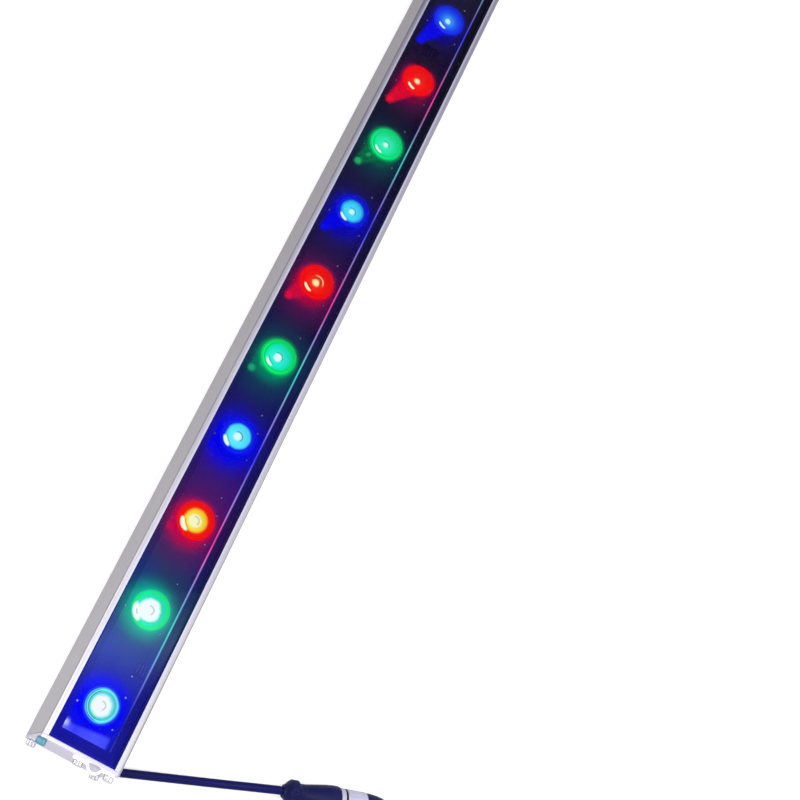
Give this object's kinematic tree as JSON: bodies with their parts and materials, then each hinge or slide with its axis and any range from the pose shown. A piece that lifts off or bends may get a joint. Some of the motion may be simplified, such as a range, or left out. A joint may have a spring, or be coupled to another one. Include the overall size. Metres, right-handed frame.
{
  "type": "led strip batten",
  "caption": "Long slim aluminium wall-washer light bar with coloured emitters behind glass, end plates, gland, supply cable with sealed connector, and sliding tilt brackets.",
  "frame": {"origin": "on the mounting plane, midway between the two bracket feet, at the centre of the pattern of foot slots", "axes": "+X along the bar from the cable end to the far end, +Y towards the side opposite the cable, +Z the way the light leaves the glass"},
  "size_m": [0.9982, 0.2187, 0.086],
  "materials": {
    "anodised_aluminium": "silver satin anodised, fine extrusion lines along the bar",
    "plate_aluminium": "brushed plate, satin anodised",
    "grey_silicone": "soft matte sheet",
    "stainless": "bright turned",
    "teal_steel": "blue-green passivated",
    "clear_glass": "polished, arrissed edges",
    "black_silicone": "smooth cured bead",
    "board_mask": "near-black solder mask, semi-gloss",
    "zinc_steel": "bright zinc plate",
    "header_black": "moulded",
    "wire_cores": "insulated cores in four colours",
    "emitter_blue": "silicone dome on a ceramic base, lit",
    "emitter_green": "silicone dome on a ceramic base, lit",
    "emitter_red": "silicone dome on a ceramic base, lit",
    "lens_blue": "clear acrylic, glowing blue from its emitter",
    "lens_green": "clear acrylic, glowing green from its emitter",
    "lens_red": "clear acrylic, glowing red from its emitter",
    "holder_plastic": "moulded cup",
    "driver_mask": "green solder mask",
    "ferrite": "pressed ferrite",
    "capacitor_sleeve": "shrink sleeve, aluminium top",
    "chip_black": "moulded epoxy",
    "terminal_green": "moulded",
    "black_nylon": "moulded, fine grain",
    "black_rubber": "moulded ring",
    "cable_jacket": "extruded jacket, satin, faint lay of the cores",
    "connector_black": "moulded, satin with fine grain",
    "brass_pins": "turned",
    "grey_nylon": "moulded, light lilac grey",
    "cap_rubber": "soft moulded cap",
    "cast_aluminium": "tumbled, satin",
    "black_steel": "black oxide",
    "foot_aluminium": "bead-blasted, anodised",
    "white_nylon": "moulded washer"
  },
  "bodies": {
    "bar": {"housing_extrusion": "anodised_aluminium", "end_plate_cable": "plate_aluminium", "end_plate_far": "plate_aluminium", "gasket_cable": "grey_silicone", "gasket_far": "grey_silicone", "cap_screws_cable": "stainless", "cap_screws_far": "stainless", "earth_screw": "teal_steel", "safety_strap": "stainless", "strap_screw": "stainless", "strap_nut": "stainless", "cover_glass": "clear_glass", "glass_seal": "black_silicone", "led_board_a": "board_mask", "led_board_b": "board_mask", "board_screws": "zinc_steel", "board_link": "header_black", "feed_wires": "wire_cores", "leds_blue": "emitter_blue", "leds_green": "emitter_green", "leds_red": "emitter_red", "lenses_blue": "lens_blue", "lenses_green": "lens_green", "lenses_red": "lens_red", "lens_holders": "holder_plastic", "driver_board": "driver_mask", "driver_inductors": "ferrite", "driver_capacitors": "capacitor_sleeve", "driver_chips": "chip_black", "terminal_block": "terminal_green", "input_wires": "wire_cores", "gland_body": "black_nylon", "gland_oring": "black_rubber", "gland_locknut": "black_nylon", "gland_seal": "black_rubber", "gland_nut": "black_nylon", "supply_cable": "cable_jacket", "connector_boot_nut": "connector_black", "connector_body": "connector_black", "connector_insert": "black_nylon", "contact_pins": "brass_pins", "dust_cap": "cap_rubber"},
    "bracket_near": {"slider_near": "cast_aluminium", "lock_screws_near": "black_steel", "pivot_bolt_near": "zinc_steel", "pivot_nut_near": "zinc_steel", "pivot_washers_near": "white_nylon"},
    "foot_near": {"foot_near": "foot_aluminium"},
    "bracket_far": {"slider_far": "cast_aluminium", "lock_screws_far": "black_steel", "pivot_bolt_far": "zinc_steel", "pivot_nut_far": "zinc_steel", "pivot_washers_far": "white_nylon"},
    "foot_far": {"foot_far": "foot_aluminium"},
    "coupling_ring": {"coupling_ring": "grey_nylon", "ring_oring": "black_rubber"}
  },
  "joints": [
    {"name": "slide_near", "type": "slide", "parent": "bar", "child": "bracket_near", "axis": [1, 0, 0], "range_m": [-0.085, 0.3]},
    {"name": "tilt_near", "type": "hinge", "parent": "bracket_near", "child": "foot_near", "pos_m": [-0.3435, 0, 0.02], "axis": [1, 0, 0], "range_deg": [-90, 90]},
    {"name": "slide_far", "type": "slide", "parent": "bar", "child": "bracket_far", "axis": [1, 0, 0], "range_m": [-0.3, 0.115]},
    {"name": "tilt_far", "type": "hinge", "parent": "bracket_far", "child": "foot_far", "pos_m": [0.3435, 0, 0.02], "axis": [1, 0, 0], "range_deg": [-90, 90]},
    {"name": "ring_spin", "type": "hinge", "parent": "bar", "child": "coupling_ring", "pos_m": [-0.45191, -0.12977, 0.0084], "axis": [0.2756, -0.9613, 0], "continuous": true}
  ],
  "couplings": [
    {"joint": "tilt_far", "follows": "tilt_near", "ratio": 1}
  ]
}
